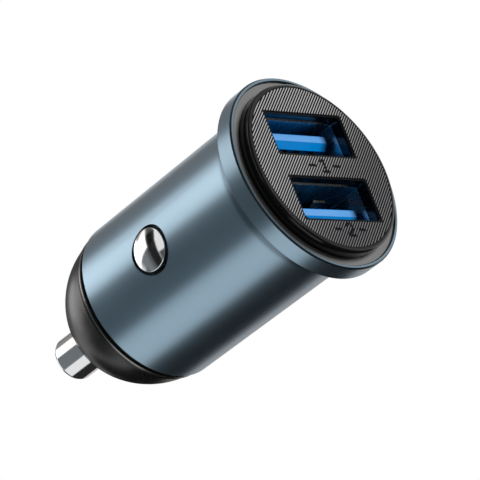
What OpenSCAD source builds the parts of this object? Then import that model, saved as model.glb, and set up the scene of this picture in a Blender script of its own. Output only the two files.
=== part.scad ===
// Car charger plug with two type A ports, for a 12 V socket.
// Millimetres. The axis is Z: the face looks up, the sprung tip points down.
// z = 0 is the rear face of the head, which seats on the rim of the socket.
// X runs along the width of the ports, Y from the lower port to the upper one.

/* [Head] */
// Diameter over the head
head_d = 24.8; // [24.6:0.1:25.6]
// Thickness of the head's flange
head_t = 2.4; // [2.3:0.1:2.8]
// Width of the bright metal rim
rim_w = 0.5; // [0.4:0.05:0.6]
// Depth of the light ring's face under the rim
ring_drop = 0.3; // [0.2:0.05:0.4]
// Width of the light ring that shows
ring_w = 1.0; // [0.8:0.05:1.1]
// Radius of the hollow curve where the head meets the barrel
seat_fillet = 0.8; // [0.5:0.1:1.0]

/* [Barrel] */
// Outside diameter of the barrel
barrel_d = 20.7; // [20.6:0.1:20.9]
// Length of the barrel under the head
barrel_len = 27.4; // [27.2:0.1:28.4]
// Wall thickness of the metal body
wall_t = 0.6; // [0.55:0.01:0.65]

/* [Side contacts] */
// Distance of the side contacts under the head
contact_drop = 15.8; // [15.7:0.1:16.2]
// Diameter of a contact stud
stud_d = 5.05; // [4.8:0.05:5.2]
// Width of the dark ring seen round a stud
stud_ring = 0.4; // [0.3:0.05:0.45]
// How far the crown of a stud stands out of the barrel
stud_out = 0.6; // [0.4:0.1:0.8]

/* [Face] */
// How far the face stands above the metal rim
face_rise = 1.25; // [1.1:0.05:1.5]
// Radius of the face plate's rounded edge
face_round = 0.4; // [0.3:0.05:0.45]
// Distance from one rib of the inlay to the next
rib_pitch = 0.31; // [0.3:0.01:0.4]
// Height of the ribs
rib_h = 0.1; // [0.06:0.01:0.12]
// Direction of the ribs, in degrees from the width of the ports
rib_angle = 45; // [30:5:60]

/* [Ports] */
// Inside width of a port
port_w = 12.5; // [12.4:0.1:12.6]
// Inside height of a port
port_h = 5.12; // [5.1:0.01:5.2]
// Distance between the two port centres
port_pitch = 8.3; // [8.2:0.05:8.4]
// Thickness of the folded port sleeves
sleeve_t = 0.3; // [0.25:0.01:0.3]
// Length of the port sleeves
sleeve_len = 13.5; // [13.2:0.1:13.6]
// Width of the blue tongue in a port
tongue_w = 11.1; // [10.9:0.1:11.2]
// Thickness of the tongue
tongue_t = 1.75; // [1.7:0.01:1.84]
// Distance of the tongue's middle from the port's middle
tongue_off = 0.7; // [0.65:0.01:0.75]
// Depth of the tongue's nose under the top of the face
tongue_sink = 2.5; // [2.4:0.1:2.8]

/* [Nose and tip] */
// Length of the nose under the barrel
nose_len = 8.6; // [8.4:0.1:9.0]
// Radius of the nose's curved flank
flank_r = 11.7; // [11.5:0.1:12.0]
// Diameter of the tip pin
pin_d = 5.6; // [5.4:0.1:5.8]
// How far the tip pin stands out of the nose
pin_out = 6.95; // [6.5:0.05:7.2]
// Chamfer on the end of the tip pin
pin_edge = 0.45; // [0.3:0.05:0.6]

/* [Board] */
// Thickness of the circuit board
board_t = 1.2; // [1.0:0.1:1.2]

/* [Hidden] */
$fn = 96;

// Clearances: between seated pieces, and round pieces that slide
seat_gap = 0.02;
slide_gap = 0.05;
e = 0.01;

// Radii of the metal body
head_r = head_d / 2;
barrel_r = barrel_d / 2;
bore_r = barrel_r - wall_t;
rim_in_r = head_r - rim_w;
rim_chamfer = 0.17;
rim_inner_chamfer = 0.08;
rear_chamfer = 0.15;
end_chamfer = 0.2;

// Levels in the head, from the pocket's floor up to the top of the face
pocket_z = 0.85;
ring_foot_top = pocket_z + 0.5;
ring_top = head_t - ring_drop;
plate_low = 0.3;
face_top = head_t + face_rise;
inlay_t = 0.35;
inlay_z = face_top - rib_h - inlay_t;
plate_r = rim_in_r - ring_w;
inlay_r = plate_r - face_round - 0.15;
spigot_r = bore_r - seat_gap;
ring_foot_r = spigot_r + 0.25;
leg_w = 4.4;
leg_len = 2.9;

// Ports
port_y = port_pitch / 2;
sleeve_w = port_w + 2 * sleeve_t;
sleeve_h = port_h + 2 * sleeve_t;
sleeve_round = 2 * sleeve_t;
window_w = port_w - 0.1;
window_h = port_h + 0.08;
window_round = 0.6;
sleeve_top = plate_low + 1.83;
sleeve_low = sleeve_top - sleeve_len;
slot_w = 2.6;
slot_low = sleeve_top - 8.6;
slot_high = sleeve_top - 3.0;
finger_w = 2.0;
finger_x = port_w / 2 - 3.15;
sleeve_leg_w = 1.2;
tongue_mid = port_y + tongue_off;
tongue_top = face_top - tongue_sink;
block_len = 2.8;
block_z = sleeve_low + 0.1;
pin_w = 0.9;
pin_t = 0.25;
pin_bow = 0.75;
pin_x_supply = 3.5;
pin_x_data = 1.0;
tail_z = sleeve_low - 0.35;
tail_foot = 0.7;

// Side contacts: level under the head, then distances out from the axis
contact_z = -contact_drop;
stud_r = stud_d / 2;
hole_r = stud_r + stud_ring;
stud_flange_r = stud_r + 0.42;
stud_flange_t = 0.5;
stud_pocket_r = stud_r - 0.575;
stud_wire = 0.3;
boss_r = 3.8;
lip_rho = bore_r - 1.22;
clip_rho = lip_rho - 2.53;
clip_t = 0.25;
clip_r = stud_flange_r - 0.345;
stud_edge_rho = barrel_r + 0.05;
spring_pocket_rho = barrel_r - 0.5;

// Board and its outline
board_y = board_t / 2;
board_front_w = 18;
board_mid_w = 10;
board_rear_w = 16.4;
board_top = plate_low - 0.2;
board_step = contact_z + boss_r + 0.1;
board_rear = contact_z - boss_r - 0.1;
barrel_low = -barrel_len;
collar_len = 2.0;
plate_t = 0.4;
board_low = barrel_low + collar_len + plate_t;
rear_top = contact_z - boss_r;
rear_len = rear_top - board_low;
rear_mid = (board_rear + board_low) / 2;

// Frame behind the side contacts
frame_r = bore_r - seat_gap;
frame_t = 0.8;
rail_x = bore_r - 2.35;
rail_w = 3.4;
rail_low = barrel_low + collar_len + seat_gap;

// Nose and tip
neck_r = bore_r + 0.05;
neck_len = 0.55;
bead_r = barrel_r - 0.3;
bead_len = 0.6;
bead_round = 0.15;
groove_len = 0.12;
nose_skin = 1.3;
nose_low = barrel_low - nose_len;
flank_low = barrel_low - neck_len - bead_len - groove_len;
flank_z = barrel_low + 0.4;
flank_x = bead_r - 0.12 - sqrt(pow(flank_r, 2) - pow(flank_z - flank_low, 2));
nose_end_r = flank_x + sqrt(pow(flank_r, 2) - pow(flank_z - nose_low, 2));
pin_r = pin_d / 2;
pin_flange_r = pin_r + 0.85;
pin_flange_t = 0.75;
post_r = pin_r - 1.1;
post_len = 1.7;
guide_r = pin_flange_r + slide_gap;
guide_t = 1.0;
shoulder_z = nose_low + 2.9;
flange_low = shoulder_z + seat_gap;
flange_top = flange_low + pin_flange_t;
pin_low = nose_low - pin_out;
tip_wire = 0.5;
tip_spring_r = pin_r - 0.3;

// Shared shapes

// Flat rectangle with rounded corners, centred.
module round_rect(w, h, r) {
    union() {
        square([w, h - 2 * r], center = true);
        square([w - 2 * r, h], center = true);
        for (sx = [-1, 1], sy = [-1, 1])
            translate([sx * (w / 2 - r), sy * (h / 2 - r)]) circle(r = r);
    }
}

// Block given by its low corner and its high corner.
module block(low, high) {
    translate(low) cube(high - low);
}

// Places a piece that is drawn along +X on the left or the right side.
module on_side(right) {
    if (right) children();
    else mirror([1, 0, 0]) children();
}

// Turns a piece drawn for the upper port into the one of the lower port.
module on_port(upper) {
    if (upper) children();
    else mirror([0, 1, 0]) children();
}

// Round wire wound about Z between two levels, with closed end turns.
module coil_spring(mean_r, wire, low, high, turns) {
    steps = 22;
    sides = 8;
    count = ceil(turns * steps);
    closed = wire * 1.06;
    rise = high - low - wire;
    open_pitch = (rise - 2 * closed) / (turns - 2);
    function level(t) =
        t < 1 ? closed * t :
        t > turns - 1 ? rise - closed * (turns - t) :
        closed + open_pitch * (t - 1);
    rings = [
        for (i = [0:count])
            let (t = i * turns / count, a = 360 * t)
                for (k = [0:sides - 1])
                    let (b = 360 * (k + 0.5) / sides, r = mean_r + wire / 2 * cos(b))
                        [r * cos(a), r * sin(a), low + wire / 2 + level(t) + wire / 2 * sin(b)]
    ];
    flanks = [
        for (i = [0:count - 1], k = [0:sides - 1])
            let (n = (k + 1) % sides)
                [i * sides + k, i * sides + n, (i + 1) * sides + n, (i + 1) * sides + k]
    ];
    first = [[for (k = [0:sides - 1]) sides - 1 - k]];
    last = [[for (k = [0:sides - 1]) count * sides + k]];
    polyhedron(points = rings, faces = concat(flanks, first, last), convexity = 10);
}

// Metal body and face

// Corner cut from a turned profile: dx and dz say which way the cut faces.
module corner_cut(x, z, size, dx, dz) {
    polygon([[x - dx * size, z], [x + dx, z + dz * (1 + size)], [x + dx, z], [x, z - dz * size]]);
}

// One turned piece: head with its rim and pocket, barrel, two contact holes.
module outer_body() {
    color([0.52, 0.6, 0.66])
    difference() {
        rotate_extrude() {
            difference() {
                union() {
                    translate([bore_r, barrel_low]) square([wall_t, pocket_z - barrel_low]);
                    translate([bore_r, 0]) square([head_r - bore_r, head_t]);
                    translate([barrel_r - e, -seat_fillet]) square([seat_fillet + e, seat_fillet + e]);
                }
                translate([barrel_r + seat_fillet, -seat_fillet]) circle(r = seat_fillet);
                translate([bore_r - 1, pocket_z]) square([rim_in_r - bore_r + 1, head_t]);
                corner_cut(head_r, head_t, rim_chamfer, 1, 1);
                corner_cut(head_r, 0, rear_chamfer, 1, -1);
                corner_cut(rim_in_r, head_t, rim_inner_chamfer, -1, 1);
                corner_cut(barrel_r, barrel_low, end_chamfer, 1, -1);
            }
        }
        translate([0, 0, contact_z]) rotate([0, 90, 0])
            cylinder(h = 3 * barrel_r, r = hole_r, center = true);
    }
}

// Smoky ring let into the head, on a foot that reaches in to the lamps.
module light_ring() {
    low = pocket_z + seat_gap;
    color([0.1, 0.1, 0.12])
    rotate_extrude() {
        difference() {
            translate([ring_foot_r, low]) square([rim_in_r - seat_gap - ring_foot_r, ring_top - low]);
            translate([ring_foot_r - 1, ring_foot_top])
                square([plate_r + seat_gap - ring_foot_r + 1, head_t]);
        }
    }
}

// Black plate with two windows, pockets for the port sleeves and two legs.
module face_plate() {
    rim_low = ring_foot_top + seat_gap;
    color([0.08, 0.08, 0.09])
    difference() {
        union() {
            rotate_extrude() {
                difference() {
                    union() {
                        translate([0, rim_low]) square([plate_r, face_top - face_round - rim_low]);
                        translate([0, rim_low]) square([plate_r - face_round, face_top - rim_low]);
                        translate([plate_r - face_round, face_top - face_round]) circle(r = face_round);
                        square([spigot_r, rim_low + 0.1]);
                    }
                    square([plate_r + 1, plate_low]);
                    translate([0, inlay_z]) square([inlay_r + seat_gap, head_t]);
                }
            }
            plate_legs();
        }
        for (s = [-1, 1]) translate([0, s * port_y, 0]) {
            linear_extrude(height = face_top + 1)
                round_rect(window_w + 0.2, window_h + 0.2, window_round + 0.1);
            translate([0, 0, -1]) linear_extrude(height = sleeve_top + seat_gap + 1)
                round_rect(sleeve_w + 0.1, sleeve_h + 0.1, sleeve_round + 0.05);
        }
    }
}

// Two legs that grip the bore over and under the ports.
module plate_legs() {
    leg_in = port_y + sleeve_h / 2 + 1.29;
    for (s = [-1, 1])
        intersection() {
            translate([0, 0, plate_low - leg_len]) cylinder(h = leg_len + 0.1, r = spigot_r);
            translate([-leg_w / 2, s > 0 ? leg_in : -leg_in - bore_r, plate_low - leg_len])
                cube([leg_w, bore_r, leg_len + 0.1]);
        }
}

// Inlay with fine slanting ribs, a smooth border and a bevel round each window.
module face_inlay() {
    rib_area_r = inlay_r - 0.06;
    count = ceil(rib_area_r / rib_pitch);
    flat = inlay_z + inlay_t;
    color([0.13, 0.13, 0.14])
    difference() {
        union() {
            translate([0, 0, inlay_z]) cylinder(h = inlay_t, r = inlay_r);
            intersection() {
                rotate([0, 0, rib_angle]) rotate([90, 0, 90])
                    translate([0, 0, -head_r]) linear_extrude(height = 2 * head_r)
                        rib_section(count, flat);
                difference() {
                    translate([0, 0, flat - 0.1]) cylinder(h = 1, r = rib_area_r);
                    for (s = [-1, 1]) translate([0, s * port_y, flat - 0.2])
                        linear_extrude(height = 2)
                            round_rect(window_w + 0.3, window_h + 0.3, window_round + 0.15);
                }
            }
        }
        for (s = [-1, 1]) translate([0, s * port_y, inlay_z - 1])
            linear_extrude(height = 3) round_rect(window_w, window_h, window_round);
    }
}

// Section across the ribs: one peaked rib per pitch on a common back.
module rib_section(count, flat) {
    crest = [
        for (i = [-count:count])
            for (p = [[-0.5, 0], [-0.32, 0.8], [-0.16, 1], [0.16, 1], [0.32, 0.8]])
                [(i + p[0]) * rib_pitch, flat + p[1] * rib_h]
    ];
    back = [
        [(count + 0.5) * rib_pitch, flat], [(count + 0.5) * rib_pitch, flat - 0.05],
        [-(count + 0.5) * rib_pitch, flat - 0.05]
    ];
    polygon(concat(crest, back));
}

// Ports

// Sprung finger cut from a wall of the sleeve: it bows inward, then out again.
module sleeve_finger(depth) {
    rotate([90, 0, 90]) translate([0, 0, -finger_w / 2]) linear_extrude(height = finger_w)
        polygon([
            [sleeve_t, slot_low - 0.1], [0, slot_low - 0.1],
            [-depth * 0.2, slot_low + 1.2], [-depth, slot_high - 1.7],
            [-depth, slot_high - 1.2], [-depth * 0.3, slot_high - 0.3],
            [-depth * 0.3 + sleeve_t * 0.8, slot_high - 0.2],
            [-depth + sleeve_t * 0.9, slot_high - 1.2],
            [-depth + sleeve_t * 0.9, slot_high - 1.7],
            [sleeve_t - depth * 0.2, slot_low + 1.2]
        ]);
}

// Solder leg that runs from a side wall of the sleeve down to the board.
module sleeve_leg(side, low) {
    mid = side * (port_w + sleeve_t) / 2;
    block(
        [mid - sleeve_t / 2, board_y - port_y, low],
        [mid + sleeve_t / 2, 0.8 - port_h / 2, low + sleeve_leg_w]
    );
}

// Folded sheet sleeve of the upper port, with sprung fingers and solder legs.
module upper_sleeve() {
    side_slot = 1.8;
    seam = 0.12;
    translate([0, port_y, 0]) {
        difference() {
            translate([0, 0, sleeve_low]) linear_extrude(height = sleeve_len)
                difference() {
                    round_rect(sleeve_w, sleeve_h, sleeve_round);
                    round_rect(port_w, port_h, sleeve_round - sleeve_t);
                }
            for (sx = [-1, 1])
                block(
                    [sx * finger_x - slot_w / 2, -sleeve_h, slot_low],
                    [sx * finger_x + slot_w / 2, sleeve_h, slot_high]
                );
            block([-sleeve_w, -side_slot / 2, slot_low], [sleeve_w, side_slot / 2, slot_high]);
            block([-seam / 2, -sleeve_h, sleeve_low - 1], [seam / 2, 0, slot_low - 1.2]);
        }
        for (sx = [-1, 1]) {
            translate([sx * finger_x, port_h / 2, 0]) sleeve_finger(0.5);
            translate([sx * finger_x, -port_h / 2, 0]) mirror([0, 1, 0]) sleeve_finger(0.7);
            translate([sx * port_w / 2, 0, 0]) rotate([0, 0, sx > 0 ? -90 : 90])
                intersection() {
                    sleeve_finger(0.35);
                    block([-0.65, -2, sleeve_low], [0.65, 2, sleeve_top]);
                }
            sleeve_leg(sx, sleeve_low + 1.6);
            sleeve_leg(sx, sleeve_top - 4.6);
        }
    }
}

module port_sleeve_upper() {
    color([0.72, 0.73, 0.75]) upper_sleeve();
}

module port_sleeve_lower() {
    color([0.72, 0.73, 0.75]) on_port(false) upper_sleeve();
}

// Blue insulator: rear block, tongue with four grooves and a bevelled nose.
// bevel_side is -1 when the long bevel faces the grooves, +1 when it faces away.
module tongue(bevel_side) {
    low_y = tongue_mid - tongue_t / 2;
    high_y = tongue_mid + tongue_t / 2;
    bevel_h = 0.8;
    bevel_d = 0.6;
    edge = 0.15;
    difference() {
        union() {
            rotate([90, 0, 90]) translate([0, 0, -tongue_w / 2]) linear_extrude(height = tongue_w)
                polygon([
                    [low_y, block_z],
                    [high_y, block_z],
                    [high_y, tongue_top - (bevel_side > 0 ? bevel_d : edge)],
                    [high_y - (bevel_side > 0 ? bevel_h : edge), tongue_top],
                    [low_y + (bevel_side > 0 ? edge : bevel_h), tongue_top],
                    [low_y, tongue_top - (bevel_side > 0 ? edge : bevel_d)]
                ]);
            translate([0, port_y, block_z]) linear_extrude(height = block_len)
                round_rect(port_w - 2 * seat_gap, port_h - 2 * seat_gap, sleeve_round - sleeve_t);
        }
        for (x = [-pin_x_supply, -pin_x_data, pin_x_data, pin_x_supply])
            block(
                [x - pin_w / 2 - slide_gap, low_y - e, block_z - 1],
                [x + pin_w / 2 + slide_gap, low_y + pin_t + slide_gap, tongue_top - 0.75]
            );
    }
}

module port_tongue_upper() {
    color([0.0, 0.42, 0.78]) tongue(-1);
}

module port_tongue_lower() {
    color([0.0, 0.42, 0.78]) on_port(false) tongue(1);
}

// Sprung contact strip of the upper port: in its groove, bowed out near the
// front, then down behind the insulator to a foot on the board.
module port_pin(x) {
    back = tongue_mid - tongue_t / 2 + pin_t;
    front = back - pin_t;
    translate([x - pin_w / 2, 0, 0]) rotate([90, 0, 90]) linear_extrude(height = pin_w)
        union() {
            polygon([
                [back, tongue_top - 0.9], [front, tongue_top - 0.9],
                [front - pin_bow, tongue_top - 2.9], [front, tongue_top - 5.4],
                [front, tail_z - pin_t / 2], [back, tail_z - pin_t / 2],
                [back, tongue_top - 5.35], [back - pin_bow, tongue_top - 2.9]
            ]);
            translate([board_y, tail_z - pin_t]) square([back - board_y, pin_t]);
            translate([board_y, tail_z - tail_foot]) square([pin_t, tail_foot]);
        }
}

module upper_pin_supply() {
    color([0.86, 0.72, 0.4]) port_pin(pin_x_supply);
}

module upper_pin_data_a() {
    color([0.86, 0.72, 0.4]) port_pin(pin_x_data);
}

module upper_pin_data_b() {
    color([0.86, 0.72, 0.4]) port_pin(-pin_x_data);
}

module upper_pin_return() {
    color([0.86, 0.72, 0.4]) port_pin(-pin_x_supply);
}

module lower_pin_supply() {
    color([0.86, 0.72, 0.4]) on_port(false) port_pin(pin_x_supply);
}

module lower_pin_data_a() {
    color([0.86, 0.72, 0.4]) on_port(false) port_pin(pin_x_data);
}

module lower_pin_data_b() {
    color([0.86, 0.72, 0.4]) on_port(false) port_pin(-pin_x_data);
}

module lower_pin_return() {
    color([0.86, 0.72, 0.4]) on_port(false) port_pin(-pin_x_supply);
}

// Board and what is on it

// Board in the middle plane, waisted where the side contacts are.
module main_board() {
    color([0.05, 0.3, 0.16])
    rotate([90, 0, 0]) translate([0, 0, -board_y]) linear_extrude(height = board_t)
        union() {
            translate([-board_front_w / 2, board_step]) square([board_front_w, board_top - board_step]);
            translate([-board_mid_w / 2, board_rear - 1])
                square([board_mid_w, board_step - board_rear + 2]);
            translate([-board_rear_w / 2, board_low]) square([board_rear_w, board_rear - board_low]);
        }
}

// Small lamp at a front corner of the board, under the light ring.
module lamp() {
    side = 1.2;
    base_t = 0.5;
    high = board_top - 0.1;
    right = board_front_w / 2 - 0.5;
    block([right - side, board_y, high - side], [right, board_y + base_t, high]);
    translate([right - side / 2, board_y + base_t, high - side / 2]) rotate([-90, 0, 0])
        cylinder(h = 0.3, r = 0.45);
}

module led_left() {
    color([0.95, 0.93, 0.8]) on_side(false) lamp();
}

module led_right() {
    color([0.95, 0.93, 0.8]) on_side(true) lamp();
}

// Wound drum coil on the upper side of the board.
coil_h = 4.6;
coil_flange_r = 3.0;
coil_flange_t = 0.9;
coil_post_r = 1.6;

module coil_core() {
    color([0.2, 0.2, 0.21])
    translate([0, board_y, contact_z]) rotate([-90, 0, 0]) {
        cylinder(h = coil_flange_t, r = coil_flange_r);
        cylinder(h = coil_h, r = coil_post_r);
        translate([0, 0, coil_h - coil_flange_t]) cylinder(h = coil_flange_t, r = coil_flange_r);
    }
}

module coil_winding() {
    color([0.72, 0.4, 0.2])
    translate([0, board_y + coil_flange_t + seat_gap, contact_z]) rotate([-90, 0, 0]) difference() {
        cylinder(h = coil_h - 2 * (coil_flange_t + seat_gap), r = coil_flange_r - 0.3);
        translate([0, 0, -1]) cylinder(h = coil_h, r = coil_post_r + seat_gap);
    }
}

// Can with a rolled neck and a rounded top, drawn along +Z from its wires.
module capacitor_can(r, h) {
    round = 0.3;
    rotate_extrude() {
        difference() {
            union() {
                square([r, h - round]);
                square([r - round, h]);
                translate([r - round, h - round]) circle(r = round);
            }
            translate([r + 0.1, 1.1]) circle(r = 0.35);
        }
    }
}

// Lying can on the lower side of the board, between the bosses.
module input_capacitor() {
    r = 3.1;
    len = 2 * boss_r - 0.6;
    wire_r = 0.25;
    wire_x = 1.25;
    color([0.16, 0.2, 0.42]) {
        translate([0, -board_y - r, rear_top]) capacitor_can(r, len);
        for (s = [-1, 1]) {
            translate([s * wire_x, -board_y - r, rear_top - 0.6]) cylinder(h = 0.7, r = wire_r);
            translate([s * wire_x, -board_y - r - wire_r, rear_top - 0.6]) rotate([-90, 0, 0])
                cylinder(h = r + wire_r, r = wire_r);
        }
    }
}

// Places on the rear of the board, from the frame's rails inward
out_can_r = rear_len / 2 - 0.25;
out_can_h = bore_r - 4.35;
out_can_x = -(rail_x - 0.65 - out_can_r);
fuse_x = rail_x - 2.6;
fuse_w = 1.6;
charge_chip_x = (out_can_x + out_can_r + fuse_x - fuse_w / 2) / 2;
converter_x = rail_x - 3.8;
diode_x = -(rail_x - 2.2);

// Standing can on the upper side of the board.
module output_capacitor() {
    color([0.75, 0.76, 0.78])
    translate([out_can_x, board_y, rear_mid]) rotate([-90, 0, 0]) capacitor_can(out_can_r, out_can_h);
}

// Chip body with gull-wing legs, drawn flat on Z = 0 with its legs along X.
module chip(w, len, h, legs) {
    pitch = (len - 1) / (legs - 1);
    leg_w = 0.4;
    leg_out = 0.9;
    knee = w / 2 + 0.4;
    translate([-w / 2, -len / 2, 0.1]) cube([w, len, h - 0.1]);
    for (s = [-1, 1], i = [0:legs - 1]) translate([0, (i - (legs - 1) / 2) * pitch, 0]) {
        mirror([s > 0 ? 0 : 1, 0, 0]) {
            block([w / 2 - 0.1, -leg_w / 2, h * 0.4], [knee + 0.2, leg_w / 2, h * 0.4 + 0.2]);
            block([knee, -leg_w / 2, 0], [knee + 0.2, leg_w / 2, h * 0.4 + 0.1]);
            block([knee, -leg_w / 2, 0], [w / 2 + leg_out, leg_w / 2, 0.15]);
        }
    }
}

// Puts a flat-drawn component on the upper or the lower side of the board.
module on_board(x, upper) {
    translate([x, upper ? board_y : -board_y, rear_mid]) rotate([upper ? -90 : 90, 0, 0]) children();
}

module converter_chip() {
    color([0.1, 0.1, 0.11]) on_board(converter_x, false) chip(3.6, rear_len - 1.1, 1.5, 4);
}

module charge_chip() {
    color([0.1, 0.1, 0.11]) on_board(charge_chip_x, true) chip(1.6, rear_len - 2.5, 1.1, 3);
}

module diode() {
    w = 2.4;
    tab_w = 1.4;
    half = rear_len / 2 - 0.7;
    color([0.12, 0.12, 0.12]) on_board(diode_x, false) {
        block([-w / 2, -half, 0.15], [w / 2, half, 2]);
        for (s = [0, 1]) mirror([0, s, 0])
            block([-tab_w / 2, half - 0.8, 0], [tab_w / 2, half + 0.3, 0.2]);
    }
}

module fuse() {
    half = rear_len / 2 - 1.1;
    color([0.85, 0.86, 0.84]) on_board(fuse_x, true)
        block([-fuse_w / 2, -half, 0], [fuse_w / 2, half, 0.7]);
}

// Side contacts

// Ring inside the barrel with two bosses for the studs and two slotted legs.
module inner_frame() {
    tab_room = 1.5;
    color([0.12, 0.12, 0.12])
    difference() {
        union() {
            translate([0, 0, rear_top]) difference() {
                cylinder(h = 2 * boss_r, r = frame_r);
                translate([0, 0, -1]) cylinder(h = 2 * boss_r + 2, r = frame_r - frame_t);
            }
            intersection() {
                translate([0, 0, rear_top]) cylinder(h = 2 * boss_r, r = frame_r - 0.1);
                translate([0, 0, contact_z]) rotate([0, 90, 0])
                    cylinder(h = 3 * frame_r, r = boss_r, center = true);
            }
            intersection() {
                translate([0, 0, rail_low]) cylinder(h = rear_top - rail_low + 0.2, r = frame_r);
                for (s = [-1, 1]) translate([s > 0 ? rail_x : -rail_x - 3, -rail_w / 2, rail_low])
                    cube([3, rail_w, rear_top - rail_low + 0.2]);
            }
        }
        intersection() {
            translate([0, 0, rear_top - 1]) cylinder(h = 2 * boss_r + 2, r = frame_r - frame_t);
            translate([-board_mid_w / 2, -bore_r, rear_top - 1])
                cube([board_mid_w, 2 * bore_r, 2 * boss_r + 2]);
        }
        for (s = [-1, 1])
            translate([0, 0, contact_z]) rotate([0, s * 90, 0]) translate([0, 0, clip_rho]) {
                cylinder(h = lip_rho - clip_rho, r = stud_flange_r + slide_gap);
                cylinder(h = bore_r, r = stud_r + slide_gap);
            }
        block(
            [-clip_rho - e, board_y, contact_z - tab_room / 2],
            [clip_rho + e, board_y + clip_t + slide_gap, contact_z + tab_room / 2]
        );
        block(
            [-board_rear_w / 2 - seat_gap, -board_y - seat_gap, board_low - 1],
            [board_rear_w / 2 + seat_gap, board_y + seat_gap, board_rear + seat_gap]
        );
    }
}

// Turned stud: crowned head, flange that stops on the boss, pocket for its spring.
module stud() {
    edge = 0.1;
    crown = stud_out - 0.05;
    crown_r = (pow(stud_r - edge, 2) + pow(crown, 2)) / (2 * crown);
    flange_rho = lip_rho - seat_gap - stud_flange_t;
    translate([0, 0, contact_z]) rotate([0, 90, 0])
        difference() {
            union() {
                translate([0, 0, flange_rho]) cylinder(h = stud_flange_t, r = stud_flange_r);
                translate([0, 0, flange_rho]) cylinder(h = stud_edge_rho - edge - flange_rho, r = stud_r);
                translate([0, 0, stud_edge_rho - edge]) cylinder(h = edge, r1 = stud_r, r2 = stud_r - edge);
                intersection() {
                    translate([0, 0, stud_edge_rho + crown - crown_r]) sphere(r = crown_r);
                    translate([0, 0, stud_edge_rho - 0.05]) cylinder(h = crown + 1, r = stud_r - edge);
                }
            }
            translate([0, 0, flange_rho - 1])
                cylinder(h = spring_pocket_rho - flange_rho + 1, r = stud_pocket_r);
        }
}

module contact_stud_left() {
    color([0.85, 0.86, 0.88]) on_side(false) stud();
}

module contact_stud_right() {
    color([0.85, 0.86, 0.88]) on_side(true) stud();
}

module stud_spring() {
    translate([0, 0, contact_z]) rotate([0, 90, 0])
        coil_spring(stud_pocket_r - 0.4, stud_wire, clip_rho + clip_t, spring_pocket_rho, 5);
}

module stud_spring_left() {
    color([0.7, 0.7, 0.72]) on_side(false) stud_spring();
}

module stud_spring_right() {
    color([0.7, 0.7, 0.72]) on_side(true) stud_spring();
}

// Washer under the spring with a tab that runs in to the board.
module ground_clip() {
    tab_w = 1.4;
    translate([clip_rho, 0, contact_z]) rotate([0, 90, 0]) cylinder(h = clip_t, r = clip_r);
    block(
        [coil_flange_r + 0.5, board_y, contact_z - tab_w / 2],
        [clip_rho + clip_t, board_y + clip_t, contact_z + tab_w / 2]
    );
}

module ground_clip_left() {
    color([0.8, 0.7, 0.45]) on_side(false) ground_clip();
}

module ground_clip_right() {
    color([0.8, 0.7, 0.45]) on_side(true) ground_clip();
}

// Nose and tip

// Brass plate on the board's end that the tip spring bears on.
module positive_plate() {
    tab_w = 2;
    tab_x = -0.8;
    color([0.84, 0.7, 0.38]) {
        translate([0, 0, board_low - plate_t]) cylinder(h = plate_t, r = tip_spring_r + 0.9);
        block(
            [tab_x - tab_w / 2, -board_y - plate_t, board_low - plate_t],
            [tab_x + tab_w / 2, -board_y, board_low + 1.6]
        );
    }
}

module tip_spring() {
    color([0.7, 0.7, 0.72])
    coil_spring(tip_spring_r, tip_wire, flange_top, board_low - plate_t, 6.5);
}

// Black nose: collar in the barrel, neck, bead, curved flank, hollow with a guide.
module nose_cap() {
    bead_low = barrel_low - neck_len - bead_len;
    end_h = 0.6;
    hollow_r = bore_r - 1;
    color([0.07, 0.07, 0.08])
    rotate_extrude() {
        difference() {
            union() {
                translate([0, barrel_low - 0.1]) square([frame_r, collar_len + 0.1]);
                translate([0, barrel_low - neck_len]) square([neck_r, neck_len - seat_gap]);
                translate([0, bead_low]) square([bead_r, bead_len - bead_round]);
                translate([0, bead_low]) square([bead_r - bead_round, bead_len]);
                translate([bead_r - bead_round, bead_low + bead_len - bead_round]) circle(r = bead_round);
                translate([0, flank_low - 0.1]) square([bead_r - 0.28, groove_len + 0.2]);
                intersection() {
                    translate([flank_x, flank_z]) circle(r = flank_r, $fn = 192);
                    union() {
                        translate([0, nose_low + end_h - 0.1]) square([head_r, flank_low - nose_low - end_h + 0.1]);
                        polygon([
                            [0, nose_low], [nose_end_r - 0.43, nose_low],
                            [nose_end_r + 0.27, nose_low + 0.25],
                            [nose_end_r + 0.77, nose_low + end_h], [0, nose_low + end_h]
                        ]);
                    }
                }
            }
            intersection() {
                translate([flank_x, flank_z]) circle(r = flank_r - nose_skin, $fn = 192);
                translate([guide_r + guide_t, shoulder_z - 0.4])
                    square([head_r, barrel_low - shoulder_z + 0.4]);
            }
            translate([-1, barrel_low - neck_len]) square([hollow_r + 1, head_r]);
            translate([-1, shoulder_z]) square([guide_r + 1, head_r]);
            translate([-1, nose_low - 1]) square([pin_r + slide_gap + 1, nose_len]);
        }
    }
}

// Turned tip: rounded-off end, shaft, stop flange and a post for the spring.
module tip_pin() {
    color([0.86, 0.87, 0.89])
    rotate_extrude() {
        polygon([
            [0, pin_low], [pin_r - pin_edge, pin_low], [pin_r - pin_edge * 0.35, pin_low + pin_edge * 0.3],
            [pin_r, pin_low + pin_edge], [pin_r, flange_low], [pin_flange_r, flange_low],
            [pin_flange_r, flange_top], [post_r, flange_top], [post_r, flange_top + post_len - 0.3],
            [post_r - 0.3, flange_top + post_len], [0, flange_top + post_len]
        ]);
    }
}

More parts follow.
